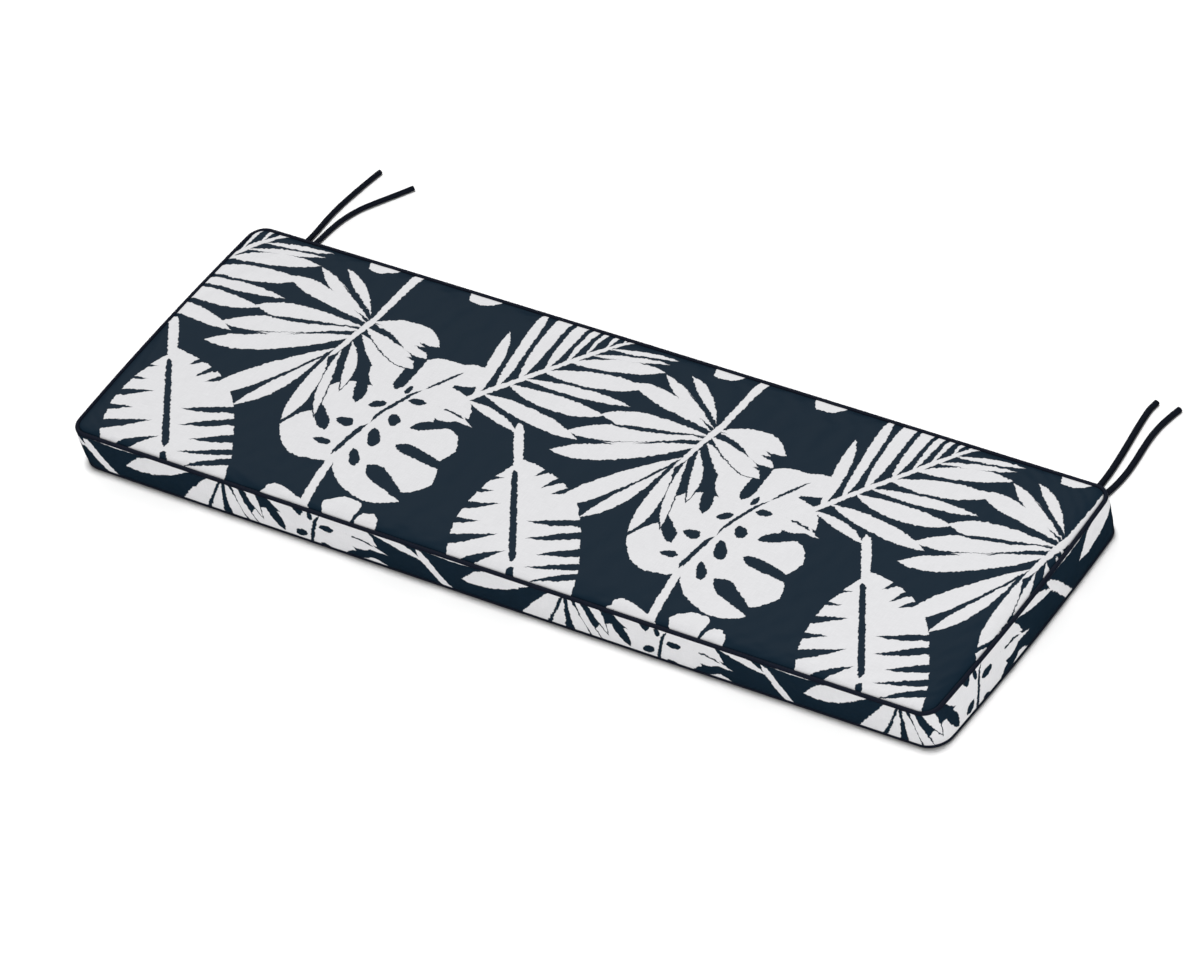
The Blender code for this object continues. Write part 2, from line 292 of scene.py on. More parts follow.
class CushionSettings(bpy.types.PropertyGroup):
    """Everything about the cushion that a user would change."""

    cover: PointerProperty(type=CoverSizes)
    trim: PointerProperty(type=TrimSizes)
    colours: PointerProperty(type=ClothColours)
    stage: PointerProperty(type=StageSettings)


# ---------------------------------------------------------------------------
# Shader maths


class Value:
    """A shader socket that Python's operators work on; each one adds a Math or a Vector Math node."""

    def __init__(self, graph, socket):
        self.graph = graph
        self.socket = socket
        self.kind = "ShaderNodeMath" if socket.type == "VALUE" else "ShaderNodeVectorMath"

    def maths(self, operation, *others):
        return self.graph.node(self.kind, {"operation": operation}, (self, *others))

    def __add__(self, other):
        return self.maths("ADD", other)

    def __sub__(self, other):
        return self.maths("SUBTRACT", other)

    def __mul__(self, other):
        return self.maths("MULTIPLY", other)

    def __rsub__(self, other):
        return self.graph.node(self.kind, {"operation": "SUBTRACT"}, (other, self))

    def __neg__(self):
        return self.maths("MULTIPLY", -1)

    def __abs__(self):
        return self.maths("ABSOLUTE")

    def times_plus(self, factor, extra):
        return self.maths("MULTIPLY_ADD", factor, extra)

    def larger(self, other):
        return self.maths("MAXIMUM", other)

    def smaller(self, other):
        return self.maths("MINIMUM", other)

    def power(self, other):
        return self.maths("POWER", other)

    def parts(self):
        """The three parts of a vector."""
        split = self.graph.nodes.new("ShaderNodeSeparateXYZ")
        self.graph.links.new(self.socket, split.inputs[0])
        return [Value(self.graph, part) for part in split.outputs]


class Graph:
    """The nodes of a material."""

    def __init__(self, name):
        self.material = bpy.data.materials.new(name)
        self.material.use_nodes = True
        self.nodes = self.material.node_tree.nodes
        self.links = self.material.node_tree.links
        self.shader = self.nodes["Principled BSDF"]

    def node(self, kind, settings, values=(), output=None):
        """Adds a node: its settings first, then the value or link of each socket. Returns its output."""
        added = self.nodes.new(kind)
        for name, setting in settings.items():
            setattr(added, name, setting)
        pairs = values.items() if isinstance(values, dict) else enumerate(values)
        for name, value in pairs:
            self.put(added.inputs[name], value)
        if output is None:
            output = next(i for i, socket in enumerate(added.outputs) if socket.enabled)
        return Value(self, added.outputs[output])

    def put(self, socket, value):
        """Sets a socket to a number, a colour, a vector or another node's output."""
        if isinstance(value, Value):
            self.links.new(value.socket, socket)
        elif socket.type == "RGBA" and len(value) == 3:
            socket.default_value = (*value, 1.0)
        elif socket.type == "VECTOR" and isinstance(value, (int, float)):
            socket.default_value = (value, value, value)
        else:
            socket.default_value = value

    def surface(self, **values):
        """Sets sockets of the Principled BSDF, named with underscores for spaces."""
        for name, value in values.items():
            self.put(self.shader.inputs[name.replace("_", " ")], value)
        return self.material

    def cloth(self):
        """Place on the cloth in metres, from its UV map: along, across and both as a vector."""
        place = self.node("ShaderNodeUVMap", {"uv_map": "cloth"})
        along, across, _ = place.parts()
        return along, across, place

    def noise(self, place, scale, detail=2.0, output="Fac"):
        return self.node(
            "ShaderNodeTexNoise", {}, {"Vector": place, "Scale": scale, "Detail": detail}, output
        )

    def mix(self, factor, first, second):
        return self.node("ShaderNodeMix", {"data_type": "RGBA"}, {0: factor, 6: first, 7: second}, 2)

    def scaled(self, vector, factor):
        """A colour or vector times a number."""
        return self.node("ShaderNodeVectorMath", {"operation": "SCALE"}, {0: vector, "Scale": factor})


THREAD_DEPTH = 0.0004


def weave(along, across, pitch):
    """Height of a plain weave from 0 to 1: threads each way, over and under by turns."""
    warp = (along * (pi / pitch)).maths("SINE")
    weft = (across * (pi / pitch)).maths("SINE")
    return (warp * weft).times_plus(0.5, 0.5) * 0.6 + (abs(warp) + abs(weft)) * 0.2


def slubs(graph, place, drawn_out, close):
    """Unevenness of the threads that run each way, about 1 in all: noise that is drawn out along them."""
    one_way = graph.noise(place * (drawn_out, close, 1.0), 1.0)
    return one_way + graph.noise(place * (close, drawn_out, 1.0), 1.0)


def cloth_surface(graph, colour, tone_and_shade, height, rough, shine, relief):
    """A matt cloth: its colour times its tone, which holds painted shade in the weave's hollows, and its
    height as a bump of a given strength.
    """
    bump = graph.node(
        "ShaderNodeBump", {}, {"Height": height, "Strength": relief, "Distance": THREAD_DEPTH}
    )
    return graph.surface(
        Base_Color=graph.scaled(colour, tone_and_shade), Roughness=rough, Specular_IOR_Level=shine, Normal=bump,
    )


STITCH_PITCH = 0.0032
STITCH_HALF_WIDTH = 0.0003
# Half width of the crease beside the stitches, which is pressed in and also painted dark as shade
CREASE_HALF_WIDTH = 0.0009


def trim_material(name, colour, rough, turn, stitched=None):
    """Plain cloth of the piping and ties, its threads turned, with a row of stitches if it has one."""
    graph = Graph(name)
    along, across, place = graph.cloth()
    grain = graph.node(
        "ShaderNodeVectorRotate", {"rotation_type": "Z_AXIS"}, {"Vector": place, "Angle": turn}
    )
    warp, weft, _ = grain.parts()
    slub = slubs(graph, grain, drawn_out=150.0, close=900.0)
    threads = weave(warp, weft, pitch=0.0007)
    # Uneven yarn sets the tone, and the low places between the threads are painted darker: painted shade of
    # the weave.
    tone_and_shade = (slub - 1.0).times_plus(0.5, 1.0) * threads.times_plus(0.5, 0.75)
    height = threads * 0.5 + slub * 0.3
    if stitched is not None:
        beside = abs(across - stitched)
        dash = (along * (2 * pi / STITCH_PITCH)).maths("SINE").times_plus(0.0003, 0.0002)
        stitch = (STITCH_HALF_WIDTH - beside).smaller(dash) * 8000.0
        stitch = stitch.larger(0.0).smaller(1.0)
        # The crease beside the stitches is a groove in the height and painted shade in the colour
        crease_and_shade = (CREASE_HALF_WIDTH - beside).larger(0.0) * 400.0
        tone_and_shade = tone_and_shade * (1.0 - crease_and_shade) + stitch * 0.9
        height = height - crease_and_shade + stitch * 0.6
    return cloth_surface(graph, colour, tone_and_shade, height, rough, shine=0.12, relief=0.45)


def cloth_material(name, colour, rough, leaves=None):
    """Woven cloth of the cover with uneven threads, and printed with leaves if they have a colour."""
    graph = Graph(name)
    along, across, place = graph.cloth()
    if leaves is not None:
        colour = graph.mix(leaf_print(graph, place), colour, leaves)
    slub = slubs(graph, place, drawn_out=60.0, close=700.0)
    threads = weave(along, across, pitch=0.0008)
    # Uneven yarn sets the tone, and the low places between the threads are painted a little darker: painted
    # shade of the weave.
    tone_and_shade = (slub - 1.0).times_plus(0.12, 1.0) * threads.times_plus(0.10, 0.95)
    height = threads * 0.25 + slub * 0.35
    return cloth_surface(graph, colour, tone_and_shade, height, rough, shine=0.065, relief=0.12)


def blades(graph, across, up, shapes):
    """How far a place is inside any of the shapes, in metres. Each vector holds the numbers of three."""
    best = None
    for first in range(0, len(shapes), 3):
        trio = [Blade(*shape) for shape in shapes[first:first + 3]]
        trio += [trio[-1]] * (3 - len(trio))
        reach = [hypot(b.x1 - b.x0, b.y1 - b.y0) for b in trio]
        ux = [(b.x1 - b.x0) / r for b, r in zip(trio, reach)]
        uy = [(b.y1 - b.y0) / r for b, r in zip(trio, reach)]
        start = [-2 * (b.x0 * x + b.y0 * y) / r - 1 for b, x, y, r in zip(trio, ux, uy, reach)]
        aside = [b.x0 * y - b.y0 * x for b, x, y in zip(trio, ux, uy)]
        run = up.times_plus([2 * y / r for y, r in zip(uy, reach)], start)
        run = across.times_plus([2 * x / r for x, r in zip(ux, reach)], run)
        off = across.times_plus([-y for y in uy], up.times_plus(ux, aside))
        taper = abs(run).power([b.blunt for b in trio]).times_plus(-1, 1)
        half = run.times_plus([b.half * b.lean for b in trio], [b.half for b in trio])
        off = abs(taper.times_plus([-b.bow for b in trio], off))
        inside = taper * half.larger([b.half * 0.1 for b in trio]) - off
        best = inside if best is None else best.larger(inside)
    first, second, third = best.parts()
    return first.larger(second).larger(third)


def leaf_print(graph, place):
    """The share of leaf colour, 0 on the ground and 1 on a leaf."""
    moved = place
    for scale, detail, shift in UNEVEN:
        moved += (graph.noise(place, scale, detail, "Color") - 0.5) * shift
    along, across, _ = moved.parts()

    def wide(value):
        """The same number in all three parts of a vector."""
        return graph.scaled((1, 1, 1), value)

    def near(centre):
        """Distance along the cloth, counted in the repeat round a place."""
        return wide(along.maths("WRAP", centre + REPEAT / 2, centre - REPEAT / 2))

    up = wide(across)
    fronds = blades(graph, near(FROND_AT), up, FROND)
    fans = near(FAN_AT)
    fans = blades(graph, fans, up, FAN).smaller(-blades(graph, fans, up, FAN_GAPS))
    holed = near(HOLED_AT)
    stems = blades(graph, holed, up, LEAF_STEM)
    holed = blades(graph, holed, up, LOBES).smaller(-blades(graph, holed, up, HOLES))
    holed = holed.smaller(-LEAF_GAP - fans)
    split = near(SPLIT_AT)
    leaf = blades(graph, split, up, SPLIT_LEAF).smaller(-blades(graph, split, up, SLITS))
    leaf = leaf.larger(blades(graph, split, up, SPLIT_STEM))
    leaf = leaf.smaller(-blades(graph, split, up, SPLIT_RIB))
    cut = blades(graph, near(CUT_AT), up, CUT_LEAVES)
    printed = fronds.larger(fans).larger(holed).larger(stems).larger(leaf).larger(cut)
    return printed.times_plus(1 / FADE, 0.5)


# ---------------------------------------------------------------------------
# Shapes


def put_in_order(bm):
    """Sorts edges and faces by their vertices, because extruding leaves them in another order each run."""
    bm.verts.index_update()
    size = len(bm.verts)

    def rank(part):
        first, second, *others = sorted(v.index for v in part.verts)
        return (first * size + second) * size + (others[0] if others else 0)

    bm.edges.sort(key=rank)
    bm.faces.sort(key=rank)


def finish_piece(name, bm, materials, replaced):
    """Makes a piece of a finished bmesh, which rides on the part and stands for its solids."""
    put_in_order(bm)
    mesh = bpy.data.meshes.new(name)
    bm.to_mesh(mesh)
    bm.free()
    for material in materials:
        mesh.materials.append(material)
    mesh.shade_smooth()
    piece = bpy.data.objects.new(name, mesh)
    bpy.context.scene.collection.objects.link(piece)
    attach(piece, "root")
    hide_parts(*replaced)
    return piece


def evenly(points, spacing):
    """Points at even distances along a line of close points."""
    steps = [(b - a).length for a, b in zip(points, points[1:])]
    count = max(2, round(sum(steps) / spacing))
    line, i, passed = [points[0]], 0, 0.0
    for k in range(1, count):
        reach = sum(steps) * k / count
        while passed + steps[i] < reach:
            passed += steps[i]
            i += 1
        line.append(points[i].lerp(points[i + 1], (reach - passed) / steps[i]))
    return [*line, points[-1]]


CURVE_STEPS = 12


def smooth_line(route, spacing):
    """A Catmull-Rom curve through the route's points, read about every spacing."""
    points = [Vector(p) for p in route]
    points = [2 * points[0] - points[1], *points, 2 * points[-1] - points[-2]]
    dense = [points[1]]
    for a, b, c, d in zip(points, points[1:], points[2:], points[3:]):
        for i in range(1, CURVE_STEPS + 1):
            t = i / CURVE_STEPS
            dense.append(0.5 * (2 * b + (c - a) * t + (2 * a - 5 * b + 4 * c - d) * t * t
                                + (3 * b - a - 3 * c + d) * t ** 3))
    return evenly(dense, spacing)


# How much wider the groove is than its piping, and how far the boxing starts from the piping's centre
GROOVE_GAP = 0.0003
BOXING_CLEAR = 0.0024
# The top panel starts this far inside and above the piping's centre, and crowns over this distance
PANEL_IN, PANEL_UP, CROWN_REACH = 0.003, 0.0017, 0.200
# No corner of the plan is sharper than this
LEAST_CORNER = 0.006
# How far inside the piping's centre the underside is flat
BASE_IN = 0.0090


class Section:
    """The cushion's outline in plan and its profile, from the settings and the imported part."""

    def __init__(self, sizes, trim):
        self.sizes = sizes
        self.cord = trim.piping / 2
        self.groove = self.cord + GROOVE_GAP
        self.low_seam = (BASE_PIPING_LOW.z + BASE_PIPING_HIGH.z) / 2
        self.high_seam = (PIPING_LOW.z + PIPING_HIGH.z) / 2
        self.half_x = PIPING_HIGH.x - self.cord - sizes.end_bow
        self.half_y = PIPING_HIGH.y - self.cord - sizes.side_bow

    def place(self, seat, out, corner, z):
        """A point of the plan, from its share of the half length and half width, moved outwards."""
        half = Vector((self.half_x + out, self.half_y + out))
        radius = max(corner + out, LEAST_CORNER)
        flat = half - Vector((radius, radius))
        x, y = abs(seat[0]) * half.x, abs(seat[1]) * half.y
        dx, dy = (x - flat.x) / radius, (y - flat.y) / radius
        if dx > 0 and dy > 0:
            x = flat.x + radius * dx * sqrt(1 - dy * dy / 2)
            y = flat.y + radius * dy * sqrt(1 - dx * dx / 2)
        x = x if seat[0] >= 0 else -x
        y = y if seat[1] >= 0 else -y
        wide, deep = x / half.x, y / half.y
        x += self.sizes.end_bow * wide * (1 - deep * deep)
        y += self.sizes.side_bow * deep * (1 - wide * wide)
        return Vector((x, y, z))

    def inset(self, point):
        """How far a point of the plan is inside the piping's centre."""
        wide = min(abs(point.x) / self.half_x, 1)
        deep = min(abs(point.y) / self.half_y, 1)
        x = abs(point.x) - self.sizes.end_bow * wide * (1 - deep * deep)
        y = abs(point.y) - self.sizes.side_bow * deep * (1 - wide * wide)
        corner = self.sizes.top_corner
        qx, qy = x - self.half_x + corner, y - self.half_y + corner
        return corner - hypot(max(qx, 0), max(qy, 0)) - min(max(qx, qy), 0)

    def seam_line(self, corner, z, spacing):
        """Points round the cushion along a seam, from the middle of the back; the last repeats the first."""
        ring = []
        steps = 600
        for i in range(4 * steps):
            side, t = divmod(i + 5 * steps // 2, steps)
            t = t / (steps // 2) - 1
            seat = ((t, -1), (1, t), (-t, 1), (-1, -t))[side % 4]
            ring.append(self.place(seat, 0, corner, z))
        return evenly([*ring, ring[0]], spacing)

    def girth(self, seat):
        """Distance along the boxing from the middle of the front, above 0 to the right."""
        corner = self.sizes.top_corner
        point = self.place(seat, 0, corner, 0)
        flat_x, flat_y, arc = self.half_x - corner, self.half_y - corner, corner * pi / 2
        x, y = abs(point.x), point.y
        if x <= flat_x:
            run = x if y < 0 else 2 * (flat_x + arc + flat_y) - x
        elif y <= -flat_y:
            run = flat_x + corner * atan2(x - flat_x, -flat_y - y)
        elif y < flat_y:
            run = flat_x + arc + flat_y + y
        else:
            run = flat_x + arc + 2 * flat_y + corner * atan2(y - flat_y, x - flat_x)
        return run if point.x >= 0 else -run

    def panel_height(self, inset):
        """Height of the top panel at a distance inside the piping's centre."""
        edge = self.sizes.edge_rise * (1 - exp(-max(inset - PANEL_IN, 0) / self.sizes.edge_roll))
        crown = self.sizes.crown * sin(pi / 2 * min(inset / CROWN_REACH, 1))
        return self.high_seam + PANEL_UP + edge + crown


TOP, BOXING, BASE = range(3)
# How much closer the panels' lines are at their edges
CROWDING = 0.6
# The rings round each groove, in degrees from outwards through up
TOP_ANGLES, BASE_ANGLES = range(150, 361, 35), range(60, 226, 33)
# The top panel is held fully at its edge. Inwards its hold fades over HOLD_FADE, and stops at LEAST_HOLD
HOLD_FADE, LEAST_HOLD = 0.004, 0.25
Ring = namedtuple("Ring", "out z corner hold panel")


def spaced(t):
    """Moves evenly spaced lines from -1 to 1 closer together towards both ends."""
    return t + CROWDING * sin(pi * t) / pi


def groove_rings(section, z, corner, angles, stitches, before, after):
    """Rings round the groove of the piping at height z; its stitches part one panel from the next."""
    rings = []
    for degrees in angles:
        angle = radians(degrees)
        rings.append(Ring(section.groove * cos(angle), z + section.groove * sin(angle), corner, 1,
                          before if degrees < stitches else after))
    return rings


def side_rings(section):
    """Rings from the top panel's edge down the boxing to the underside, each one out from the seam line."""
    sizes = section.sizes
    rings = groove_rings(section, section.high_seam, sizes.top_corner, TOP_ANGLES, 225, TOP, BOXING)
    low, high = section.low_seam + BOXING_CLEAR, section.high_seam - BOXING_CLEAR
    steps = 12
    for i in range(steps + 1):
        up = 1 - i / steps
        corner = sizes.bottom_corner + (sizes.top_corner - sizes.bottom_corner) * up
        rings.append(Ring(BOXING_CLEAR + sizes.bulge * sin(pi * up) ** 0.7, low + (high - low) * up, corner,
                          1 - 0.75 * sin(pi * up) ** 0.5, BOXING))
    corner = sizes.bottom_corner
    rings += groove_rings(section, section.low_seam, corner, BASE_ANGLES, 180, BOXING, BASE)
    rings += [Ring(-0.0040, 0.0004, corner, 1, BASE), Ring(-0.0062, 0.0, corner, 1, BASE),
              Ring(-BASE_IN, 0.0, corner, 1, BASE)]
    return rings


def cover_mesh(section):
    """The filled cover: a crowned top panel, boxing drawn in at both seams, and a flat underside."""
    sizes = section.sizes
    bm = bmesh.new()
    seat = bm.verts.layers.float_vector.new("seat")
    panel = bm.faces.layers.int.new("panel")
    hold = bm.verts.layers.float.new("hold")
    bmesh.ops.create_grid(bm, x_segments=sizes.columns, y_segments=sizes.rows, size=1.0)
    for v in bm.verts:
        v[seat] = (spaced(v.co.x), spaced(v.co.y), 0)
    copied = bmesh.ops.duplicate(bm, geom=bm.faces[:])["geom"]
    base = [g for g in copied if isinstance(g, bmesh.types.BMVert)]
    base_faces = [g for g in copied if isinstance(g, bmesh.types.BMFace)]
    below = set(base)
    top = [v for v in bm.verts if v not in below]
    rings = side_rings(section)
    for v in top:
        v.co = section.place(v[seat], rings[0].out, sizes.top_corner, 0)
        inset = section.inset(v.co)
        v.co.z = section.panel_height(inset)
        v[hold] = max(LEAST_HOLD, 1 - (inset - PANEL_IN) / HOLD_FADE)
    for v in base:
        v.co = section.place(v[seat], -BASE_IN, sizes.bottom_corner, 0)
        v[hold] = 1
    bmesh.ops.reverse_faces(bm, faces=base_faces)
    for face in bm.faces:
        face[panel] = TOP
    for face in base_faces:
        face[panel] = BASE

    edges = [e for e in bm.edges if e.is_boundary and not below.intersection(e.verts)]
    for ring in rings[1:]:
        grown = bmesh.ops.extrude_edge_only(bm, edges=edges)["geom"]
        for g in grown:
            if isinstance(g, bmesh.types.BMFace):
                g[panel] = ring.panel
        edges = [g for g in grown if isinstance(g, bmesh.types.BMEdge)]
        for v in (g for g in grown if isinstance(g, bmesh.types.BMVert)):
            v.co = section.place(v[seat], ring.out, ring.corner, ring.z)
            v[hold] = ring.hold
    bmesh.ops.remove_doubles(bm, verts=bm.verts, dist=1e-6)
    bmesh.ops.recalc_face_normals(bm, faces=bm.faces)
    if bm.calc_volume(signed=True) < 0:
        bmesh.ops.reverse_faces(bm, faces=bm.faces)
    join_boxing(bm)
    lay_cloth(bm, section)
    return bm


# The boxing's join: half its width, how far it draws the boxing in, how near it faces are cut for it, and a
# distance that tells its three lines apart
JOIN_HALF_WIDTH = 0.0013
JOIN_DEPTH = 0.0015
JOIN_REACH = 0.02
ASIDE = 0.0002


def join_boxing(bm):
    """Sews the two ends of the boxing together at the middle of the back, where the join draws it in."""
    panel = bm.faces.layers.int["panel"]
    hold = bm.verts.layers.float["hold"]
    for x in (-JOIN_HALF_WIDTH, JOIN_HALF_WIDTH):
        back = [f for f in bm.faces if f[panel] == BOXING and f.calc_center_median().y > 0]
        near = [f for f in back if abs(f.calc_center_median().x) < JOIN_REACH]
        parts = dict.fromkeys(part for f in near for part in (f, *f.edges, *f.verts))
        bmesh.ops.bisect_plane(bm, geom=list(parts), dist=1e-6, plane_co=(x, 0, 0), plane_no=(1, 0, 0))
    for v in bm.verts:
        at_join = abs(v.co.x) < JOIN_HALF_WIDTH + ASIDE and v.co.y > 0
        if at_join and any(f[panel] == BOXING for f in v.link_faces):
            if abs(v.co.x) < ASIDE:
                v.co.y -= JOIN_DEPTH * (1 - v[hold])
            v[hold] = 1


# The boxing's print: the height of its middle, and how far it moves on towards the right end, from a place
# and over a distance along the front
PRINT_HEIGHT = 0.0375
SHIFT, SHIFT_FROM, SHIFT_OVER = 0.072, 0.2, 0.75


def lay_cloth(bm, section):
    """Gives each panel its place on the printed cloth, in metres, as a UV map."""
    uv = bm.loops.layers.uv.new("cloth")
    seat = bm.verts.layers.float_vector["seat"]
    panel = bm.faces.layers.int["panel"]
    for face in bm.faces:
        face.material_index = 1 if face[panel] == BASE else 0
        middle = face.calc_center_median()
        for loop in face.loops:
            spot = loop.vert.co
            if face[panel] == BOXING:
                run = section.girth(loop.vert[seat])
                at_back = abs(run) > 1
                if at_back and run * middle.x < 0:
                    run = -run
                t = min(max((run - SHIFT_FROM) / SHIFT_OVER, 0), 1)
                loop[uv].uv = (run + SHIFT * t * t * (3 - 2 * t), spot.z - PRINT_HEIGHT)
            else:
                loop[uv].uv = (spot.x * (1 + EASE * spot.x), spot.y)


FILL_FRAMES = 20
LUMP_HEIGHT = 0.00012


def swell(piece, most):
    """Fills the cover under pressure, held at its seams, with no point moved further than most."""
    mesh = piece.data
    rest = [v.co.copy() for v in mesh.vertices]
    group = piece.vertex_groups.new(name="held")
    for v, held in zip(mesh.vertices, mesh.attributes["hold"].data):
        group.add([v.index], min(held.value, 1), "REPLACE")
        lumps = noise.noise(v.co * 45) + noise.noise(v.co * 110)
        v.co += v.normal * (LUMP_HEIGHT * lumps * (1 - min(held.value, 1)))
    cloth = piece.modifiers.new("fill", "CLOTH")
    settings = cloth.settings
    settings.quality = 5
    settings.mass = 0.3
    settings.tension_stiffness = 30
    settings.compression_stiffness = 30
    settings.shear_stiffness = 12
    settings.bending_stiffness = 0.4
    settings.use_pressure = True
    settings.uniform_pressure_force = 4
    settings.shrink_min = -0.006
    settings.shrink_max = -0.006
    settings.vertex_group_mass = "held"
    settings.pin_stiffness = 1.0
    settings.effector_weights.gravity = 0
    cloth.collision_settings.use_collision = False
    scene = bpy.context.scene
    for step in range(1, FILL_FRAMES + 1):
        scene.frame_set(step)
    filled = piece.evaluated_get(bpy.context.evaluated_depsgraph_get())
    places = [v.co.copy() for v in filled.data.vertices]
    piece.modifiers.remove(cloth)
    scene.frame_set(1)
    for v, place, start in zip(mesh.vertices, places, rest):
        step = place - start
        v.co = start + step * min(1, most / max(step.length, 1e-9))
        v.co.z = max(v.co.z, 0)
    piece.vertex_groups.clear()


# A cut end's rim: its length, and its share of the tube's radius where it starts and at the very end
RIM, RIM_INNER_SHARE, RIM_SHARE = 0.0003, 0.985, 0.91


def tube(path, skin, sides=14, closed=False):
    """A tube along a path, with a UV map in metres: along it, and round it.

    skin(run, angle) gives the distance from the path to the surface. A path that is closed repeats its
    first point at the end. An open tube is cut square, with its rim a little rounded.
    """
    bm = bmesh.new()
    uv = bm.loops.layers.uv.new("cloth")
    spot = bm.verts.layers.float_vector.new("spot")
    stations = [(point, 1.0) for point in (path[:-1] if closed else path)]
    if not closed:
        first, last = (path[0] - path[1]).normalized(), (path[-1] - path[-2]).normalized()
        stations[:1] = [(path[0], RIM_SHARE), (path[0] - first * RIM, RIM_INNER_SHARE)]
        stations[-1:] = [(path[-1] - last * RIM, RIM_INNER_SHARE), (path[-1], RIM_SHARE)]
    ring = bmesh.ops.create_circle(bm, segments=sides, radius=1.0)["verts"]
    for v in ring:
        v[spot] = (0, atan2(v.co.y, v.co.x), 0)
    first_edges = edges = bm.edges[:]
    run = 0.0
    for i, (point, share) in enumerate(stations):
        before = stations[i - 1][0] if i or closed else point
        after = stations[(i + 1) % len(stations)][0] if closed or i + 1 < len(stations) else point
        way = (after - before).normalized()
        side = way.cross((0, 0, 1)).normalized()
        up = side.cross(way)
        if i:
            run += (point - before).length
            grown = bmesh.ops.extrude_edge_only(bm, edges=edges)["geom"]
            edges = [g for g in grown if isinstance(g, bmesh.types.BMEdge)]
            ring = [g for g in grown if isinstance(g, bmesh.types.BMVert)]
        for v in ring:
            angle = v[spot].y
            v.co = point + (side * cos(angle) + up * sin(angle)) * (skin(run, angle) * share)
            v[spot] = (run, angle, 0)
    if closed:
        bmesh.ops.bridge_loops(bm, edges=[*first_edges, *edges])
    else:
        bmesh.ops.holes_fill(bm, edges=bm.edges)
    bmesh.ops.recalc_face_normals(bm, faces=bm.faces)
    size = skin(0.0, 0.0)
    # A face that crosses the map's seam, or a closed tube's join, goes on past it
    for face in bm.faces:
        places = [Vector(loop.vert[spot]) for loop in face.loops]
        for loop, place in zip(face.loops, places):
            if max(p.y for p in places) - place.y > pi:
                place.y += 2 * pi
            if closed and max(p.x for p in places) - place.x > run / 2:
                place.x += run
            loop[uv].uv = (place.x, place.y * size)
    return bm


def mound(distance, reach):
    """A smooth rise from 0 to 1 and back, 1 at no distance and nearly 0 at twice its reach."""
    return exp(-(distance / reach) ** 2)


def piping_skin(radius, run):
    """Cord wrapped in cloth, a little uneven, with the lump of its own join near the middle of the back."""
    uneven = 0.00004 * noise.noise((run * 70, 0, 0))
    join_place, join_reach, join_height = 0.030, 0.0045, 0.00022
    return radius + uneven + join_height * mound(run - join_place, join_reach)


def tie_skin(radius, run, angle):
    """A narrow, slightly flat tube of cloth with its seam's ridge, pressed down where it is sewn in."""
    uneven = 0.00022 * noise.noise((run * 55, cos(angle), sin(angle)))
    ridge_angle, ridge_reach, ridge_height = 0.5, 0.3, 0.00035
    ridge = ridge_height * mound(angle - ridge_angle, ridge_reach)
    flatness, pressed, pressed_reach = 0.10, 0.62, 0.007
    sewn = 1.0 - pressed * mound(run, pressed_reach) * max(sin(angle), 0.0)
    return (radius * (1.0 + flatness * cos(2 * angle)) + uneven + ridge) * sewn


# ---------------------------------------------------------------------------
# Stage


def add_camera(scene, stage):
    """The camera, which looks at the target from the set direction, turned about its line of sight."""
    a, e = stage.azimuth, stage.elevation
    back = Vector((sin(a) * cos(e), -cos(a) * cos(e), sin(e)))
    right = Vector((cos(a), sin(a), 0))
    up = Vector((-sin(a) * sin(e), cos(a) * sin(e), cos(e)))
    turned_right = right * cos(stage.roll) + up * sin(stage.roll)
    turned_up = up * cos(stage.roll) - right * sin(stage.roll)
    data = bpy.data.cameras.new("camera")
    data.sensor_width = 36.0
    data.lens = stage.lens
    data.clip_end = 100.0
    camera = bpy.data.objects.new("camera", data)
    pose = Matrix((turned_right, turned_up, back)).transposed().to_4x4()
    pose.translation = Vector(stage.target) + back * stage.distance
    camera.matrix_world = pose
    scene.collection.objects.link(camera)
    scene.camera = camera


def add_floor(scene):
    """A plain floor, which the cushion lies on."""
    bm = bmesh.new()
    bmesh.ops.create_grid(bm, x_segments=1, y_segments=1, size=30.0)
    mesh = bpy.data.meshes.new("floor")
    bm.to_mesh(mesh)
    bm.free()
    mesh.materials.append(Graph("floor").surface(
        Base_Color=(0.47, 0.47, 0.47), Roughness=0.9, Specular_IOR_Level=0.0,
    ))
    ground = bpy.data.objects.new("floor", mesh)
    scene.collection.objects.link(ground)
    ground.visible_glossy = False
    return ground


def add_daylight(scene, strength):
    """Even white light from all round, which the cloths don't mirror."""
    world = bpy.data.worlds.new("daylight")
    world.use_nodes = True
    background = world.node_tree.nodes["Background"].inputs
    background["Color"].default_value = (1.0, 1.0, 1.0, 1.0)
    background["Strength"].default_value = strength
    world.cycles_visibility.glossy = False
    scene.world = world


def add_light(scene, name, kind, energy, towards):
    """A light that shines on the cushion from a direction."""
    light = bpy.data.lights.new(name, kind)
    light.energy = energy
    lamp = bpy.data.objects.new(name, light)
    lamp.rotation_euler = Vector(towards).to_track_quat("Z", "Y").to_euler()
    scene.collection.objects.link(lamp)
    return lamp


# ---------------------------------------------------------------------------
# Operators


class OBJECT_OT_cushion_stage(bpy.types.Operator):
    """Add the floor, the soft light and the camera"""

    bl_idname = "object.cushion_stage"
    bl_label = "Stage"

    def execute(self, context):
        scene = context.scene
        stage = scene.bench_cushion.stage
        add_camera(scene, stage)
        ground = add_floor(scene)
        add_daylight(scene, stage.daylight)
        key = add_light(scene, "key", "SUN", stage.key, (-0.56, 0.50, 0.66))
        key.data.angle = radians(24.0)
        overhead = add_light(scene, "overhead", "SUN", stage.overhead, (-0.03, 0.075, 1.0))
        overhead.data.angle = radians(12.0)
        lit = bpy.data.collections.new("lit_from_overhead")
        lit.objects.link(ground)
        overhead.light_linking.receiver_collection = lit
        front_right = (2.4, -1.6, 2.6)
        fill = add_light(scene, "fill", "AREA", stage.fill, front_right)
        fill.location = front_right
        fill.data.size = 1.5
        scene.view_settings.view_transform = "Standard"
        return {"FINISHED"}


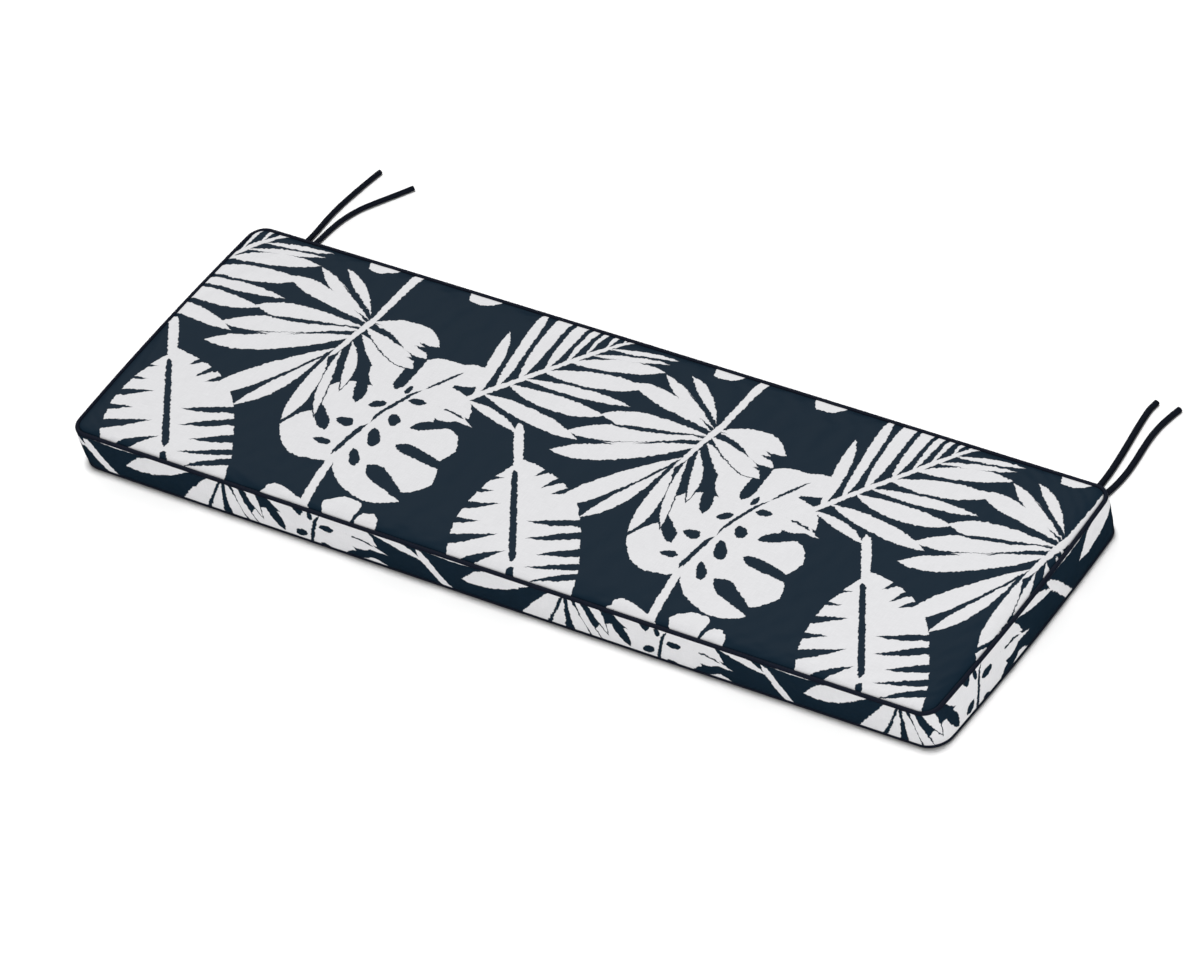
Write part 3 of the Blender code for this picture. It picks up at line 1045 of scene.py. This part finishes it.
class OBJECT_OT_cushion_piping(bpy.types.Operator):
    """Add the piping of both seams, cord wrapped in cloth"""

    bl_idname = "object.cushion_piping"
    bl_label = "Piping"

    def execute(self, context):
        settings = context.scene.bench_cushion
        section = Section(settings.cover, settings.trim)
        cloth = trim_material("piping_cloth", settings.colours.piping, 0.8, pi / 4)
        for name, z, corner in (
            ("piping_top", section.high_seam, settings.cover.top_corner),
            ("piping_bottom", section.low_seam, settings.cover.bottom_corner),
        ):
            path = section.seam_line(corner, z, spacing=0.004)
            bm = tube(path, lambda run, angle: piping_skin(section.cord, run), closed=True)
            finish_piece(name + "_cloth", bm, [cloth], [name])
        return {"FINISHED"}


class OBJECT_OT_cushion_ties(bpy.types.Operator):
    """Add the four tie strings, each a soft stitched tube with a free end"""

    bl_idname = "object.cushion_ties"
    bl_label = "Ties"

    def execute(self, context):
        settings = context.scene.bench_cushion
        cloth = trim_material("tie_cloth", settings.colours.ties, 0.85, 0.0, stitched=TIE_STITCHES)
        for name, route in TIE_ROUTES.items():
            path = smooth_line(route, spacing=0.003)
            radius = settings.trim.tie / 2 * TIE_FULLNESS[name.rpartition("_")[0]]
            bm = tube(path, lambda run, angle: tie_skin(radius, run, angle), sides=20)
            piece = finish_piece(name + "_cloth", bm, [cloth], [name])
        return {"FINISHED"}


class OBJECT_OT_cushion_cover(bpy.types.Operator):
    """Add the filled cover with its print"""

    bl_idname = "object.cushion_cover"
    bl_label = "Cover"

    def execute(self, context):
        settings = context.scene.bench_cushion
        section = Section(settings.cover, settings.trim)
        bm = cover_mesh(section)
        ground, leaves = settings.colours.ground, settings.colours.leaves
        printed = cloth_material("printed_cloth", ground, 0.58, leaves)
        plain = cloth_material("underside_cloth", ground, 0.8)
        piece = finish_piece("cover", bm, [printed, plain], ["cushion"])
        swell(piece, settings.cover.swell)
        smooth = piece.modifiers.new("smooth", "SUBSURF")
        smooth.levels = smooth.render_levels = 1
        return {"FINISHED"}


class VIEW3D_PT_bench_cushion(bpy.types.Panel):
    """The cushion's pieces and their sizes"""

    bl_idname = "VIEW3D_PT_bench_cushion"
    bl_label = "Bench Cushion"
    bl_space_type = "VIEW_3D"
    bl_region_type = "UI"
    bl_category = "Cushion"

    def draw(self, context):
        settings = context.scene.bench_cushion
        for operator in ("stage", "piping", "ties", "cover"):
            self.layout.operator("object.cushion_" + operator)
        for group in (settings.cover, settings.trim, settings.colours, settings.stage):
            box = self.layout.box()
            for name in group.bl_rna.properties.keys():
                if name not in {"rna_type", "name"}:
                    box.prop(group, name)


CLASSES = (
    CoverSizes, TrimSizes, ClothColours, StageSettings, CushionSettings,
    OBJECT_OT_cushion_stage, OBJECT_OT_cushion_piping, OBJECT_OT_cushion_ties, OBJECT_OT_cushion_cover,
    VIEW3D_PT_bench_cushion,
)


def register():
    """Adds the classes and the scene's settings."""
    for cls in CLASSES:
        bpy.utils.register_class(cls)
    bpy.types.Scene.bench_cushion = PointerProperty(type=CushionSettings)


def unregister():
    """Takes them away again."""
    del bpy.types.Scene.bench_cushion
    for cls in reversed(CLASSES):
        bpy.utils.unregister_class(cls)


def main():
    """Builds the dressed cushion in order."""
    register()
    bpy.ops.object.cushion_stage()
    bpy.ops.object.cushion_piping()
    bpy.ops.object.cushion_ties()
    bpy.ops.object.cushion_cover()


if __name__ == "__main__":
    main()
